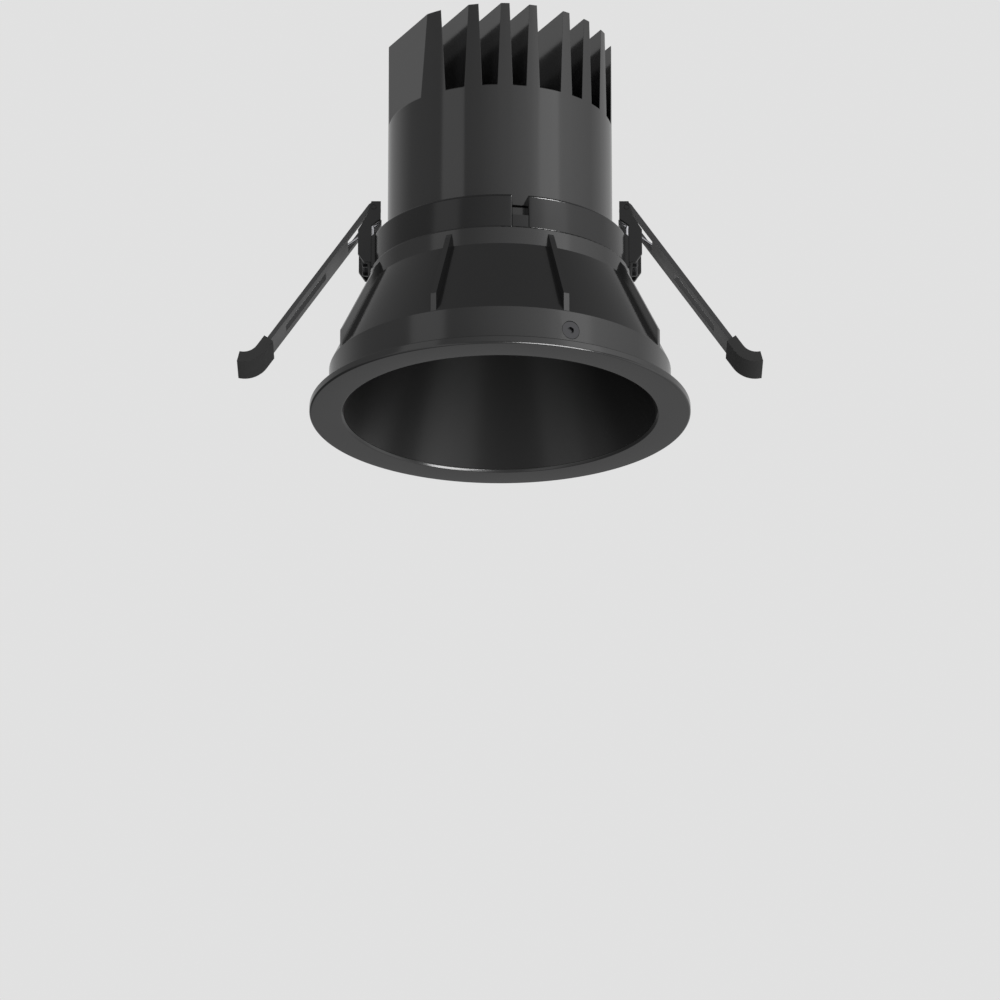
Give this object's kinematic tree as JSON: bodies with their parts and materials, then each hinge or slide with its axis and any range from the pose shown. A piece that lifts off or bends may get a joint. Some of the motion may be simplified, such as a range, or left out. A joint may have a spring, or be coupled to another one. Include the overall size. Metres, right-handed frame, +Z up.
{
  "type": "soffit downlight",
  "caption": "Recessed round downlight: flat trim ring, deep black anti-glare cone, ribbed housing, finned heat sink and sprung ceiling clips.",
  "frame": {"origin": "on the lamp's axis, in the plane of the trim's back face that lies on the ceiling", "axes": "+Z up into the ceiling void along the lamp's axis, +X towards the right clip seen from the front, +Y to the back, where the cable inlet is"},
  "size_m": [0.1628, 0.118, 0.124],
  "materials": {
    "satin_black_cast": "satin black powder coat",
    "cone_black": "satin black, deep",
    "graphite_cast": "satin graphite coat on die-cast aluminium",
    "black_steel": "black coated sheet steel",
    "spring_wire": "bright spring steel wire",
    "zinc_steel": "zinc plated screws",
    "black_rubber": "matte rubber and foam",
    "black_nylon": "moulded nylon",
    "clear_glass": "clear toughened glass",
    "pcb_white": "white solder mask",
    "holder_white": "white moulded plastic",
    "phosphor": "yellow silicone over the diodes",
    "pad_grey": "heat conducting sheet",
    "cup_silver": "vacuum metallised"
  },
  "bodies": {
    "lamp": {"trim_ring": "satin_black_cast", "ceiling_gasket": "black_rubber", "reflector_cone": "cone_black", "housing_shell": "satin_black_cast", "trim_screws": "zinc_steel", "protective_glass": "clear_glass", "glass_gasket": "black_rubber", "collar_ring": "graphite_cast", "seam_gasket": "black_rubber", "engine_screws": "zinc_steel", "heatsink": "graphite_cast", "thermal_pad": "pad_grey", "led_board": "pcb_white", "led_emitter": "phosphor", "led_holder": "holder_white", "holder_screws": "zinc_steel", "optic_cup": "cup_silver", "gland_body": "black_nylon", "gland_seal": "black_rubber", "gland_nut": "black_nylon", "bracket_screws": "zinc_steel", "clip_bracket_left": "black_steel", "clip_pin_left": "black_steel", "clip_spring_left": "spring_wire", "clip_bracket_right": "black_steel", "clip_pin_right": "black_steel", "clip_spring_right": "spring_wire"},
    "clip_left": {"clip_arm_left": "black_steel", "clip_pad_left": "black_rubber"},
    "clip_right": {"clip_arm_right": "black_steel", "clip_pad_right": "black_rubber"}
  },
  "joints": [
    {"name": "clip_hinge_left", "type": "hinge", "parent": "lamp", "child": "clip_left", "pos_m": [-0.03931, 0, 0.0642], "axis": [0, 1, 0], "range_deg": [-18, 138], "stiffness_Nm_per_rad": 0.11, "deforming": ["clip_spring_left"]},
    {"name": "clip_hinge_right", "type": "hinge", "parent": "lamp", "child": "clip_right", "pos_m": [0.03931, 0, 0.0642], "axis": [0, -1, 0], "range_deg": [-18, 138], "stiffness_Nm_per_rad": 0.11, "deforming": ["clip_spring_right"]}
  ]
}
